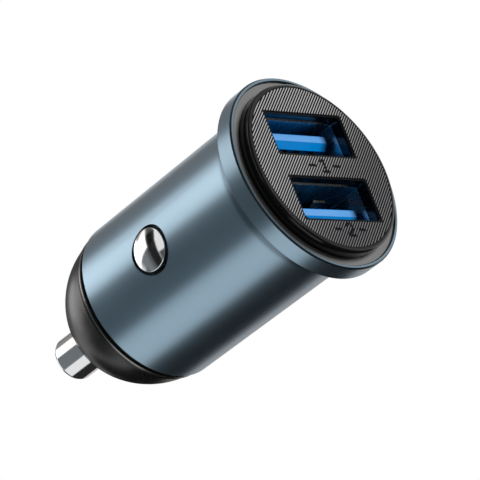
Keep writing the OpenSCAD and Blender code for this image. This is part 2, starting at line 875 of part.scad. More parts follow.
outer_body();
light_ring();
face_plate();
face_inlay();
port_sleeve_upper();
port_sleeve_lower();
port_tongue_upper();
port_tongue_lower();
upper_pin_supply();
upper_pin_data_a();
upper_pin_data_b();
upper_pin_return();
lower_pin_supply();
lower_pin_data_a();
lower_pin_data_b();
lower_pin_return();
main_board();
led_left();
led_right();
inner_frame();
contact_stud_left();
contact_stud_right();
stud_spring_left();
stud_spring_right();
ground_clip_left();
ground_clip_right();
coil_core();
coil_winding();
input_capacitor();
output_capacitor();
converter_chip();
charge_chip();
diode();
fuse();
positive_plate();
tip_spring();
nose_cap();
tip_pin();
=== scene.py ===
"""Looks of a car charger plug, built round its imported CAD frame.

Metres, in the frame of the CAD part: the axis is Z, the face looks up, the sprung tip points down,
and z = 0 is the rear face of the head.
"""

import logging
import math
from dataclasses import dataclass, field
from enum import Enum
from typing import Any, Sequence, Union

import bpy
import numpy as np
from mathutils import Matrix, Vector


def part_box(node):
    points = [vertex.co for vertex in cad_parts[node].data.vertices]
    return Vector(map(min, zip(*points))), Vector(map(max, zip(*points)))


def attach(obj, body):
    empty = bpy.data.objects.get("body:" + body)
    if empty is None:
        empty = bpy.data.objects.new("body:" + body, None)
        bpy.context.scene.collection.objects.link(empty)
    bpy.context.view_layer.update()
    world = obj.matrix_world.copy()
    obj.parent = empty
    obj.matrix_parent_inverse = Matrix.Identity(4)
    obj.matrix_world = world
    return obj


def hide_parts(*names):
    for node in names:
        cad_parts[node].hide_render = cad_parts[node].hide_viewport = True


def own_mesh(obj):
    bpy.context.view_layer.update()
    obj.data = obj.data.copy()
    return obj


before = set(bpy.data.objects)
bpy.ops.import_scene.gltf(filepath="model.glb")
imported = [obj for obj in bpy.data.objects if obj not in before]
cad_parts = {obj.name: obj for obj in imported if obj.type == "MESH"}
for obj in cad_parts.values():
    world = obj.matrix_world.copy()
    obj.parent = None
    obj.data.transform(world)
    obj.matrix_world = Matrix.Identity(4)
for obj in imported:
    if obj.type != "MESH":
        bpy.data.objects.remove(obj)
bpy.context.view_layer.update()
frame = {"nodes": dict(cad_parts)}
MM = 0.001
LOG = logging.getLogger("charger_plug")

Colour = tuple[float, float, float]
Point = tuple[float, float]
Value = Union["Wire", float, Sequence[float]]
Shell = tuple[np.ndarray, list[list[int]]]


# Shader maths


class Wire:
    """One output socket of a material graph, which takes part in Python sums and products."""

    def __init__(self, graph: "Graph", socket: bpy.types.NodeSocket) -> None:
        """Keeps the socket and the graph that it lies in."""
        self.graph = graph
        self.socket = socket

    def __add__(self, other: Value) -> "Wire":
        """Sum."""
        return self.graph.join("ADD", self, other)

    def __radd__(self, other: Value) -> "Wire":
        """Reflected sum."""
        return self.graph.join("ADD", other, self)

    def __sub__(self, other: Value) -> "Wire":
        """Difference."""
        return self.graph.join("SUBTRACT", self, other)

    def __rsub__(self, other: Value) -> "Wire":
        """Reflected difference."""
        return self.graph.join("SUBTRACT", other, self)

    def __mul__(self, other: Value) -> "Wire":
        """Product."""
        return self.graph.join("MULTIPLY", self, other)

    def __rmul__(self, other: Value) -> "Wire":
        """Reflected product."""
        return self.graph.join("MULTIPLY", other, self)

    def __truediv__(self, other: Value) -> "Wire":
        """Quotient."""
        return self.graph.join("DIVIDE", self, other)

    def __abs__(self) -> "Wire":
        """Size without the sign."""
        return self.graph.node("Math", {"operation": "ABSOLUTE"}, {0: self})

    def above(self, level: float) -> "Wire":
        """1 where the value is above the level, and 0 elsewhere."""
        return self.graph.join("GREATER_THAN", self, level)

    def below(self, level: float) -> "Wire":
        """1 where the value is below the level, and 0 elsewhere."""
        return self.graph.join("LESS_THAN", self, level)

    def ramp(self, low: float, high: float, out_low: float = 0.0, out_high: float = 1.0) -> "Wire":
        """Smooth step from out_low at low to out_high at high.

        Args:
            low: Value where the step begins.
            high: Value where it ends.
            out_low: Result up to the beginning.
            out_high: Result from the end on.

        Returns:
            The step.
        """
        ends = {"From Min": low, "From Max": high, "To Min": out_low, "To Max": out_high}
        smooth = {"interpolation_type": "SMOOTHSTEP"}
        return self.graph.node("MapRange", smooth, {"Value": self, **ends})

    def swing(self, width: float) -> "Wire":
        """Change about zero that a noise from 0 to 1 makes over a width."""
        return (self - 0.5) * width


class Graph:
    """The node tree of one material or of the world, written as Python expressions."""

    def __init__(self, tree: bpy.types.NodeTree) -> None:
        """Empties the tree.

        Args:
            tree: Node tree of a material or a world.
        """
        self.tree = tree
        tree.nodes.clear()

    def raw(self, kind: str, settings: dict[str, Any], values: dict[Any, Value]) -> bpy.types.Node:
        """Adds a node.

        Args:
            kind: Type name without its ShaderNode prefix.
            settings: Attributes of the node, set first.
            values: Numbers, colours or links of its input sockets, by name or place.

        Returns:
            The new node.
        """
        made = self.tree.nodes.new("ShaderNode" + kind)
        for name, setting in settings.items():
            setattr(made, name, setting)
        for name, value in values.items():
            self._feed(made.inputs[name], value)
        return made

    def node(
        self,
        kind: str,
        settings: dict[str, Any] | None = None,
        values: dict[Any, Value] | None = None,
        out: Any = None,
    ) -> Wire:
        """Adds a node and takes one of its outputs.

        Args:
            kind: Type name without its ShaderNode prefix.
            settings: Attributes of the node, set first.
            values: Numbers, colours or links of its input sockets, by name or place.
            out: Name or place of the output, or None for the first that is in use.

        Returns:
            The output.
        """
        made = self.raw(kind, settings or {}, values or {})
        if out is None:
            out = next(i for i, s in enumerate(made.outputs) if s.enabled)
        return Wire(self, made.outputs[out])

    def _feed(self, socket: bpy.types.NodeSocket, value: Value) -> None:
        """Links a wire to an input, or sets the input's own value.

        Args:
            socket: The input.
            value: A wire, a number, or the three numbers of a colour or a vector.
        """
        opaque = [1.0] if socket.type == "RGBA" else []
        if isinstance(value, Wire):
            self.tree.links.new(value.socket, socket)
        elif not isinstance(value, (int, float)):
            socket.default_value = [*value, *opaque]
        elif socket.type in ("VECTOR", "RGBA"):
            socket.default_value = [value] * 3 + opaque
        else:
            socket.default_value = value

    def join(self, operation: str, left: Value, right: Value) -> Wire:
        """Adds one operation on two values, at least one of them a wire.

        Args:
            operation: Name of the operation, the same in Math and Vector Math.
            left: First value.
            right: Second value.

        Returns:
            The result, a vector where either value is one.
        """
        kinds = {v.socket.type for v in (left, right) if isinstance(v, Wire)}
        listed = any(not isinstance(v, (Wire, int, float)) for v in (left, right))
        wide = "VECTOR" in kinds or listed
        if wide and operation == "MULTIPLY" and "VALUE" in kinds and "VECTOR" in kinds:
            vector, number = (left, right) if left.socket.type == "VECTOR" else (right, left)
            return self.node("VectorMath", {"operation": "SCALE"}, {0: vector, "Scale": number}, 0)
        kind = "VectorMath" if wide else "Math"
        return self.node(kind, {"operation": operation}, {0: left, 1: right}, 0)

    def mix(self, share: Value, first: Value, second: Value) -> Wire:
        """Colour between two colours.

        Args:
            share: Share of the second colour, from 0 to 1.
            first: First colour.
            second: Second colour.

        Returns:
            The mixed colour.
        """
        # A Mix node has its two colours in inputs 6 and 7, and the mixed one in output 2.
        made = self.raw("Mix", {"data_type": "RGBA"}, {0: share, 6: first, 7: second})
        return Wire(self, made.outputs[2])

    def shade(self, colour: Colour, amount: Wire) -> Wire:
        """A colour made lighter or darker, as far as its lightest part has room under 1.

        Args:
            colour: The colour at an amount of 1.
            amount: A number near 1.

        Returns:
            The colour times the amount, held within its span.
        """
        widest, narrowest = 0.5, 0.02
        span = min(widest, max(narrowest, 1.0 / max(colour) - 1.0))
        dark = tuple(c * (1.0 - span) for c in colour)
        light = tuple(min(1.0, c * (1.0 + span)) for c in colour)
        return self.mix((amount - (1.0 - span)) / (2.0 * span), dark, light)

    def place(self) -> Wire:
        """Object coordinates."""
        return self.node("TexCoord", out="Object")

    def axes(self, place: Wire) -> tuple[Wire, Wire, Wire]:
        """The three numbers of a place."""
        made = self.raw("SeparateXYZ", {}, {0: place})
        return tuple(Wire(self, s) for s in made.outputs)

    def distance(self, a: Wire, b: Wire) -> Wire:
        """Distance from the origin of two coordinates: the root of the sum of their squares."""
        return self.node("Math", {"operation": "SQRT"}, {0: a * a + b * b})

    def greater(self, a: Value, b: Value) -> Wire:
        """The greater of two numbers, which joins two masks."""
        return self.node("Math", {"operation": "MAXIMUM"}, {0: a, 1: b})

    def bar(self, x: Wire, y: Wire, start: Point, end: Point, width: float) -> Wire:
        """1 on a straight bar between two points of the XY plane, and 0 elsewhere.

        The place is measured from the bar's middle, along it and across it. It lies on the bar
        where the first is under half the length and the second is under half the width.

        Args:
            x: First coordinate.
            y: Second coordinate.
            start: One end, in metres.
            end: The other end.
            width: Width of the bar.

        Returns:
            The mask.
        """
        length = math.dist(start, end)
        run, rise = (end[0] - start[0]) / length, (end[1] - start[1]) / length
        from_x, from_y = x - (start[0] + end[0]) / 2, y - (start[1] + end[1]) / 2
        along = abs(from_x * run + from_y * rise).below(length / 2)
        return along * abs(from_y * run - from_x * rise).below(width / 2)

    def noise(self, place: Value, scale: float, detail: float = 2.0, rough: float = 0.5) -> Wire:
        """Noise from 0 to 1 about 0.5, on a place."""
        values = {"Vector": place, "Scale": scale, "Detail": detail, "Roughness": rough}
        return self.node("TexNoise", {}, values, "Fac")

    def lines(self, along: Wire, scale: float, detail: float = 3.0) -> Wire:
        """Noise that changes along one number alone, as the marks of a tool do."""
        values = {"W": along, "Scale": scale, "Detail": detail}
        return self.node("TexNoise", {"noise_dimensions": "1D"}, values, "Fac")

    def bump(self, height: Wire, depth: float) -> Wire:
        """Normal bent by a height from 0 to 1, depth metres deep."""
        return self.node("Bump", {}, {"Height": height, "Distance": depth, "Strength": 1.0})

    def surface(self, **values: Value) -> None:
        """Ends the material in one Principled shader.

        Args:
            **values: Inputs of the shader, by their names with low lines in place of spaces.
        """
        named = {k.replace("_", " "): v for k, v in values.items()}
        shader = self.node("BsdfPrincipled", {}, named)
        self.raw("OutputMaterial", {}, {"Surface": shader})


# Finishes


@dataclass(frozen=True)
class Finish:
    """A finish of the charger plug: its name and its own colour."""

    name: str
    colour: Colour

    def material(self) -> bpy.types.Material:
        """Makes the material and fills its graph.

        Returns:
            The material.
        """
        made = bpy.data.materials.new(self.name)
        made.use_nodes = True
        self.fill(Graph(made.node_tree))
        return made

    def fill(self, g: Graph) -> None:
        """Writes the nodes of the finish to its material's graph."""
        raise NotImplementedError


@dataclass(frozen=True)
class TurnedMetal(Finish):
    """Metal turned about Z: fine rings that follow height on a barrel and radius on a face."""

    roughness: float = 0.29
    satin: float = 0.05
    ring_scale: float = 5200.0
    ring_depth: float = 0.0012 * MM
    grain_scale: float = 9000.0
    cloud_scale: float = 160.0
    # Painted shade: the dark colour and the shares below darken the rim's outer cut, the bore wall,
    # the barrel under the head and the rear edge of the head, where shade falls.
    painted_shade_colour: Colour = (0.004, 0.006, 0.008)
    rim_edge: float = 14.62 * MM
    rim_painted_shade: float = 0.7
    bore_radius: float = 11.985 * MM
    bore_floor: float = 0.86 * MM
    bore_painted_shade: float = 0.92
    foot: tuple[float, float] = (-2.5 * MM, -1.75 * MM)
    foot_radius: float = 11.5 * MM
    foot_painted_shade: float = 0.5
    rear: tuple[float, float] = (-0.02 * MM, 0.17 * MM)
    rear_radius: float = 12.2 * MM
    rear_painted_shade: float = 0.8

    def painted_edge_shade(self, radius: Wire, z: Wire) -> Wire:
        """Share of the metal's colour that is left outside the painted shade at the edges of the
        head.

        Painted shade lies on the rim's outer cut, where radius plus height is over rim_edge, and on
        the bore, within bore_radius, above bore_floor. Over its foot, painted shade darkens the
        barrel softly up to the head. Painted shade also lies on the edge of the head's rear face,
        beyond rear_radius, between two heights.

        Args:
            radius: Distance from the axis.
            z: Height.

        Returns:
            The share, 1 away from the painted shade.
        """
        cut = (radius + z).above(self.rim_edge) * self.rim_painted_shade
        bore = radius.below(self.bore_radius) * z.above(self.bore_floor) * self.bore_painted_shade
        foot = z.ramp(*self.foot) * radius.below(self.foot_radius) * z.below(0.0) * self.foot_painted_shade
        low, high = self.rear
        rear = z.above(low) * z.below(high) * radius.above(self.rear_radius) * self.rear_painted_shade
        return (1.0 - cut) * (1.0 - bore) * (1.0 - foot) * (1.0 - rear)

    def fill(self, g: Graph) -> None:
        """Rings change with height plus radius, and a fine satin grain lies over them.

        Args:
            g: Graph of the material.
        """
        place = g.place()
        x, y, z = g.axes(place)
        radius = g.distance(x, y)
        rings = g.lines(z + radius, self.ring_scale)
        grain = g.noise(place, self.grain_scale, 2.0)
        cloud = g.noise(place, self.cloud_scale, 3.0)
        tone = 1.0 + rings.swing(0.05) + cloud.swing(0.04)
        # Painted shade: the head's edges and the barrel under the head take the dark colour.
        outside_painted_shade = self.painted_edge_shade(radius, z)
        g.surface(
            Base_Color=g.mix(outside_painted_shade, self.painted_shade_colour, g.shade(self.colour, tone)),
            Metallic=1.0,
            Roughness=self.roughness + grain.swing(self.satin) + cloud.swing(0.03),
            Normal=g.bump(rings * 0.7 + grain * 0.3, self.ring_depth),
        )


@dataclass(frozen=True)
class PlatedMetal(Finish):
    """Polished plating with faint wipe marks."""

    roughness: float = 0.08
    cloud_scale: float = 420.0
    fine_scale: float = 5200.0
    fine_depth: float = 0.0003 * MM

    def fill(self, g: Graph) -> None:
        """A soft cloud in the gloss, and faint fine lines.

        Args:
            g: Graph of the material.
        """
        place = g.place()
        cloud = g.noise(place, self.cloud_scale, 3.0)
        fine = g.noise(place, self.fine_scale, 2.0)
        g.surface(
            Base_Color=g.shade(self.colour, 1.0 + cloud.swing(0.05)),
            Metallic=1.0,
            Roughness=self.roughness + cloud.swing(0.04) + fine.swing(0.03),
            Normal=g.bump(fine, self.fine_depth),
        )


@dataclass(frozen=True)
class DrawnMetal(Finish):
    """Rolled or drawn sheet and wire, with lines along its length."""

    roughness: float = 0.25
    along: str = "z"
    squeeze: float = 0.025
    grain_scale: float = 9000.0
    cloud_scale: float = 500.0
    grain_depth: float = 0.0015 * MM

    def fill(self, g: Graph) -> None:
        """Grain drawn out along the length, where its place counts for only a fortieth.

        Args:
            g: Graph of the material.
        """
        place = g.place()
        stretch = tuple(self.squeeze if axis == self.along else 1.0 for axis in "xyz")
        grain = g.noise(place * stretch, self.grain_scale, 3.0)
        cloud = g.noise(place, self.cloud_scale, 3.0)
        g.surface(
            Base_Color=g.shade(self.colour, 1.0 + grain.swing(0.12) + cloud.swing(0.06)),
            Metallic=1.0,
            Roughness=self.roughness + grain.swing(0.12),
            Normal=g.bump(grain, self.grain_depth),
        )


@dataclass(frozen=True)
class MouldedPlastic(Finish):
    """Moulded plastic with a fine spark-eroded grain."""

    roughness: float = 0.3
    grain_depth: float = 0.002 * MM
    gloss: float = 0.5
    grain_scale: float = 7000.0
    cloud_scale: float = 260.0

    def fill(self, g: Graph) -> None:
        """Fine grain in height and gloss, with slow clouds of tone.

        Args:
            g: Graph of the material.
        """
        place = g.place()
        grain = g.noise(place, self.grain_scale, 3.0, 0.6)
        cloud = g.noise(place, self.cloud_scale, 3.0)
        plain = g.shade(self.colour, 1.0 + cloud.swing(0.16) + grain.swing(0.08))
        g.surface(
            **self.skin(g, g.axes(place)[2], cloud, plain),
            Roughness=self.roughness + grain.swing(0.08) + cloud.swing(0.05),
            Specular_IOR_Level=self.gloss,
            Normal=g.bump(grain, self.grain_depth),
        )

    def skin(self, g: Graph, z: Wire, cloud: Wire, plain: Wire) -> dict[str, Value]:
        """The inputs that differ between moulded pieces, from height, cloud and plain colour."""
        return {"Base_Color": plain}


@dataclass(frozen=True)
class TongueResin(MouldedPlastic):
    """Dyed plastic of a port's tongue, with painted light on its up-facing flat end."""

    # Painted light: the paler tone of the flat end that faces up towards the light.
    rubbed: Colour = (0.12, 0.345, 0.73)
    end_z: float = 1.13 * MM

    def skin(self, g: Graph, z: Wire, cloud: Wire, plain: Wire) -> dict[str, Value]:
        """The painted light tone lies above the level of the end."""
        return {"Base_Color": g.mix(z.above(self.end_z) * (0.85 + cloud * 0.3), plain, self.rubbed)}


@dataclass(frozen=True)
class NoseCap(MouldedPlastic):
    """Moulded nose whose bead carries a painted highlight: a thin grey metal band."""

    bead: tuple[float, float] = (-28.28 * MM, -28.08 * MM)
    # Painted highlight: a grey metal band on the bead's crest that stands in for its edge
    # highlight.
    bead_highlight_colour: Colour = (0.3, 0.3, 0.3)

    def skin(self, g: Graph, z: Wire, cloud: Wire, plain: Wire) -> dict[str, Value]:
        """The painted highlight band lies between two heights on the bead's crest, and is metal."""
        band = z.above(self.bead[0]) * z.below(self.bead[1])
        return {"Base_Color": g.mix(band, plain, self.bead_highlight_colour), "Metallic": band}


@dataclass(frozen=True)
class PortMark:
    """Printed mark under a port, flat on the face: a numeral between two short dashes."""

    centre: Point
    numeral: int
    height: float = 1.9 * MM
    width: float = 1.25 * MM
    stroke: float = 0.35 * MM
    reach: float = 2.6 * MM
    dash: float = 1.2 * MM

    def bars(self) -> list[tuple[Point, Point]]:
        """Ends of the straight strokes about the centre.

        Returns:
            The two dashes, and then the straight parts of the numeral.
        """
        # The flag of a 1 falls from the stem's top. The slope of a 2 joins its bow to its foot.
        side, top, thin = self.width / 2, self.height / 2, self.stroke / 2
        strokes = [((s * (self.reach - self.dash), 0.0), (s * self.reach, 0.0)) for s in (-1, 1)]
        foot = ((-side, thin - top), (side, thin - top))
        if self.numeral == 1:
            stem = ((0.0, -top), (0.0, top))
            flag = ((-side, top * 0.42), (thin * 0.7, top - thin * 0.5))
            return [*strokes, stem, flag, foot]
        slope = ((side * 0.86, top * 0.2), (-side, thin - top))
        return [*strokes, slope, foot]

    def mask(self, g: Graph, x: Wire, y: Wire) -> Wire:
        """1 on the ink.

        The strokes are bars. The bow of a 2 is the part of a ring over a level line to the left of
        its centre, and over a line that falls by 35 degrees to the right.

        Args:
            g: Graph of the surface that is printed.
            x: First coordinate.
            y: Second coordinate.

        Returns:
            The mask.
        """
        across, up = x - self.centre[0], y - self.centre[1]
        ink = None
        for start, end in self.bars():
            bar = g.bar(across, up, start, end, self.stroke)
            ink = bar if ink is None else g.greater(ink, bar)
        if self.numeral == 2:
            radius = (self.width - self.stroke) / 2
            over = up - (self.height - self.stroke) / 2 + radius
            ring = abs(g.distance(across, over) - radius).below(self.stroke / 2)
            falling = across * 0.57 + over * 0.82
            ink = g.greater(ink, ring * g.greater(over, falling).above(0.0))
        return ink


@dataclass(frozen=True)
class RibbedInlay(Finish):
    """Inlay with a painted highlight on rib crests, black valleys and borders, and printed marks.
    """

    marks: tuple[PortMark, ...] = ()
    # Painted highlight: crest is the pale grey painted on the rib crests, fading to crest_far
    # across the face as painted light falloff.
    crest: Colour = (0.42, 0.42, 0.425)
    crest_far: Colour = (0.16, 0.16, 0.165)
    ink: Colour = (0.005, 0.005, 0.006)
    valley_z: float = 3.643 * MM
    crest_z: float = 3.650 * MM
    reach: float = 9.0 * MM
    window: tuple[float, float] = (6.2 * MM, 2.6 * MM)
    window_y: float = 4.15 * MM
    border: float = 0.27 * MM
    roughness: float = 0.3
    gloss: float = 0.08
    fine_scale: float = 5200.0
    fine_depth: float = 0.0015 * MM
    highlight_noise_scale: float = 900.0

    def ribbed(self, g: Graph, x: Wire, y: Wire) -> Wire:
        """1 outside the borders of the windows, and 0 on them.

        A place is outside where the greater of its distances past a window's two half sizes is over
        the border's width.

        Args:
            g: Graph of the material.
            x: First coordinate.
            y: Second coordinate.

        Returns:
            The mask.
        """
        past_side = abs(x) - self.window[0]
        past_top = abs(abs(y) - self.window_y) - self.window[1]
        return g.greater(past_side, past_top).above(self.border)

    def fill(self, g: Graph) -> None:
        """Painted highlight on the rib crests by height, darkening from one side to the other.

        Args:
            g: Graph of the material.
        """
        place = g.place()
        x, y, z = g.axes(place)
        height = z.ramp(self.valley_z, self.crest_z) * self.ribbed(g, x, y)
        crest = g.mix((x - y).ramp(-self.reach, self.reach), self.crest, self.crest_far)
        fine = g.noise(place, self.fine_scale, 3.0, 0.6)
        highlight_noise = g.noise(place, self.highlight_noise_scale, 3.0)
        # Painted highlight on the crests, following rib height, with the print laid over it.
        rubbed = g.mix(height * (0.86 + 0.28 * highlight_noise), self.colour, crest)
        for mark in self.marks:
            rubbed = g.mix(mark.mask(g, x, y), rubbed, self.ink)
        g.surface(
            Base_Color=rubbed,
            Roughness=self.roughness + fine.swing(0.1),
            Specular_IOR_Level=self.gloss,
            Normal=g.bump(fine, self.fine_depth),
        )


@dataclass(frozen=True)
class BoardLaminate(Finish):
    """Glass cloth laminate under green lacquer, with copper tracks and a cut edge."""

    track: Colour = (0.03, 0.27, 0.12)
    edge: Colour = (0.52, 0.47, 0.26)
    face_y: float = 0.585 * MM
    thread: float = 18000.0
    track_pitch: float = 1.27 * MM
    track_side: tuple[float, float] = (0.42 * MM, 0.48 * MM)
    track_wander: float = 3.0 * MM
    wander_scale: float = 160.0
    patch_scale: float = 300.0
    patch_share: float = 0.42
    depth: float = 0.02 * MM
    roughness: float = 0.36

    def fill(self, g: Graph) -> None:
        """A plain weave of sine waves across X and Z, tracks at an even pitch, and pale edges.

        Args:
            g: Graph of the material.
        """
        place = g.place()
        x, y, z = g.axes(place)
        weave_x = g.node("Math", {"operation": "SINE"}, {0: x * self.thread})
        weave_z = g.node("Math", {"operation": "SINE"}, {0: z * self.thread})
        weave = weave_x * weave_z * 0.5 + 0.5
        wander = x + g.noise(place, self.wander_scale) * self.track_wander
        stripe = g.node("Math", {"operation": "PINGPONG"}, {0: wander, 1: self.track_pitch})
        patch = g.noise(place, self.patch_scale).above(self.patch_share)
        track = stripe.ramp(*self.track_side) * patch
        lacquer = g.mix(track, self.colour, self.track)
        g.surface(
            Base_Color=g.mix(abs(y).above(self.face_y), self.edge, lacquer),
            Roughness=self.roughness - track * 0.08 + weave.swing(0.06),
            Normal=g.bump(weave * 0.3 + track, self.depth),
        )


@dataclass(frozen=True)
class TwoPartFinish(Finish):
    """Body of one stuff with tinned or metal ends beyond a distance from a middle plane."""

    ends: Colour = (0.72, 0.72, 0.7)
    axis: int = 0
    middle: float = 0.0
    half: float = 1.0 * MM
    roughness: float = 0.5
    grain_scale: float = 6500.0
    grain_depth: float = 0.004 * MM

    def fill(self, g: Graph) -> None:
        """The ends begin where the distance from the middle plane is over the half length.

        Args:
            g: Graph of the material.
        """
        place = g.place()
        metal = abs(g.axes(place)[self.axis] - self.middle).above(self.half)
        grain = g.noise(place, self.grain_scale, 3.0, 0.6)
        g.surface(
            Base_Color=g.mix(metal, g.shade(self.colour, 1.0 + grain.swing(0.5)), self.ends),
            Metallic=metal,
            Roughness=self.roughness - metal * 0.22 + grain.swing(0.12),
            Normal=g.bump(grain, self.grain_depth),
        )


@dataclass(frozen=True)
class WoundWire(Finish):
    """Enamelled wire wound in close turns about an axis along Y."""

    pitch: float = 0.32 * MM
    depth: float = 0.06 * MM
    cloud_scale: float = 1500.0
    metal: float = 0.8
    roughness: float = 0.3

    def fill(self, g: Graph) -> None:
        """Round turns: the height is the size of a sine of y, and the colour follows it as painted
        shade.

        Args:
            g: Graph of the material.
        """
        place = g.place()
        y = g.axes(place)[1]
        turn = abs(g.node("Math", {"operation": "SINE"}, {0: y * (math.pi / self.pitch)}))
        cloud = g.noise(place, self.cloud_scale, 2.0)
        g.surface(
            # Painted shade: the colour darkens with the height into the grooves between turns.
            Base_Color=g.shade(self.colour, 0.6 + turn * 0.45 + cloud.swing(0.2)),
            Metallic=self.metal,
            Roughness=self.roughness + cloud.swing(0.1),
            Normal=g.bump(turn, self.depth),
        )


@dataclass(frozen=True)
class SleevedCan(Finish):
    """Aluminium can in a shrunk sleeve with one pale stripe along its length."""

    stripe: Colour = (0.6, 0.64, 0.72)
    metal: Colour = (0.72, 0.73, 0.75)
    axis_y: float = -3.7 * MM
    radius: float = 3.1 * MM
    stripe_from: float = 0.9
    bare_to: float = 0.8
    grain_scale: float = 2500.0
    grain_depth: float = 0.003 * MM
    roughness: float = 0.3

    def fill(self, g: Graph) -> None:
        """The stripe lies where the can faces away from the board, and the end is bare.

        Args:
            g: Graph of the material.
        """
        place = g.place()
        x, y, z = g.axes(place)
        side = (y - self.axis_y).below(-self.stripe_from * self.radius)
        bare = g.distance(x, y - self.axis_y).below(self.bare_to * self.radius)
        grain = g.noise(place, self.grain_scale, 3.0)
        sleeve = g.mix(side, g.shade(self.colour, 1.0 + grain.swing(0.2)), self.stripe)
        g.surface(
            Base_Color=g.mix(bare, sleeve, self.metal),
            Metallic=bare,
            Roughness=self.roughness + grain.swing(0.1),
            Normal=g.bump(grain, self.grain_depth),
        )


@dataclass(frozen=True)
class LampResin(Finish):
    """Small lamp: a pale carrier with a yellow phosphor dome."""

    dome: Colour = (0.9, 0.72, 0.18)
    dome_y: float = 1.12 * MM
    grain_scale: float = 5000.0
    roughness: float = 0.4

    def fill(self, g: Graph) -> None:
        """The dome begins above the carrier's height.

        Args:
            g: Graph of the material.
        """
        place = g.place()
        dome = g.axes(place)[1].above(self.dome_y)
        grain = g.noise(place, self.grain_scale, 2.0)
        g.surface(
            Base_Color=g.mix(dome, g.shade(self.colour, 1.0 + grain.swing(0.1)), self.dome),
            Roughness=self.roughness - dome * 0.2 + grain.swing(0.06),
        )


# Meshes


class Edge(Enum):
    """Angle in degrees over which an edge of a piece stays crisp."""

    TURNED = 20.0
    WIRE = 70.0


def new_piece(
    name: str, points: np.ndarray, faces: list[list[int]], smooth: bool = False
) -> bpy.types.Object:
    """Makes an object at the origin from whole arrays.

    Args:
        name: Name of the object and its mesh.
        points: Places of the vertices, one row each, in metres.
        faces: Vertex numbers of each face.
        smooth: Whether the faces are shaded smooth.

    Returns:
        The object, linked to the scene.
    """
    mesh = bpy.data.meshes.new(name)
    mesh.from_pydata(points.tolist(), [], faces)
    mesh.polygons.foreach_set("use_smooth", np.full(len(mesh.polygons), smooth))
    mesh.update()
    made = bpy.data.objects.new(name, mesh)
    bpy.context.scene.collection.objects.link(made)
    return made


def grid_faces(rows: int, columns: int) -> list[list[int]]:
    """Quads of a grid: each joins a point, the next in its row, and those two in the next row."""
    first = (np.arange(rows - 1)[:, None] * columns + np.arange(columns - 1)[None, :]).ravel()
    return np.stack([first, first + 1, first + columns + 1, first + columns], axis=1).tolist()


def closed_rows(rings: np.ndarray, start: np.ndarray, end: np.ndarray) -> Shell:
    """Closed surface through rings of points, with a fan to one point at both ends.

    The faces point outwards where the way along the rings, crossed with the way round them, does.

    Args:
        rings: Places, by ring and by point of the ring.
        start: Middle of the first ring.
        end: Middle of the last ring.

    Returns:
        Places and faces.
    """
    rows, columns = rings.shape[:2]
    column = np.arange(columns)
    after = (column + 1) % columns
    first = np.arange(rows - 1)[:, None] * columns
    then = first + columns
    quads = np.stack([first + column, then + column, then + after, first + after], axis=-1)
    count = rows * columns
    top = count - columns
    low = np.stack([np.full(columns, count), column, after], axis=1)
    high = np.stack([np.full(columns, count + 1), top + after, top + column], axis=1)
    faces = [*quads.reshape(-1, 4).tolist(), *low.tolist(), *high.tolist()]
    return np.vstack([rings.reshape(-1, 3), [start, end]]), faces


def turned(outline: np.ndarray, columns: int) -> Shell:
    """Surface of revolution: each point of an outline is carried round the axis.

    A point at distance d along the axis and radius r goes to (d, r cos a, -r sin a) for every
    angle a. The first and last points of the outline lie on the axis and become poles.

    Args:
        outline: Distance along the axis and radius, one row each, in metres.
        columns: Number of angles.

    Returns:
        Places and faces.
    """
    angle = np.linspace(0.0, 2.0 * np.pi, columns, endpoint=False)
    along, radius = outline[1:-1, :1], outline[1:-1, 1:]
    across, up = radius * np.cos(angle), -radius * np.sin(angle)
    rings = np.stack([along + 0.0 * angle, across, up], axis=-1)
    start, end = (np.array([outline[row, 0], 0.0, 0.0]) for row in (0, -1))
    return closed_rows(rings, start, end)


def coiled(radius: float, wire: float, length: float, turns: float) -> Shell:
    """Wire of a pressure spring about Z, from 0 to its length, with a closed turn at both ends.

    The wire's circle is carried along a helix: after t turns it stands at angle 2 pi t. Its level
    rises by little more than the wire's thickness over the first turn and over the last, and evenly
    between them.

    Args:
        radius: Radius of the helix.
        wire: Thickness of the wire.
        length: Length of the spring over its ends.
        turns: Number of turns.

    Returns:
        Places and faces.
    """
    steps_in_turn, sides, closed_pitch = 40, 14, 1.06
    turn = np.linspace(0.0, turns, int(turns * steps_in_turn) + 1)[:, None]
    angle = 2.0 * np.pi * turn
    closed, rise = wire * closed_pitch, length - wire
    knots = [0.0, 1.0, turns - 1.0, turns]
    level = np.interp(turn, knots, [0.0, closed, rise - closed, rise]) + wire / 2.0
    around = np.linspace(0.0, 2.0 * np.pi, sides, endpoint=False)
    out = radius + wire / 2.0 * np.cos(around)
    height = level + wire / 2.0 * np.sin(around)
    rings = np.stack([out * np.cos(angle), out * np.sin(angle), height], axis=-1)
    return closed_rows(rings, rings[0].mean(axis=0), rings[-1].mean(axis=0))


def crisp(piece: bpy.types.Object, edge: Edge) -> None:
    """Splits the shading where two faces meet at more than an angle.

    Args:
        piece: The piece.
        edge: The angle.
    """
    split = piece.modifiers.new("crisp_edges", "EDGE_SPLIT")
    split.split_angle = math.radians(edge.value)
    split.use_edge_sharp = False


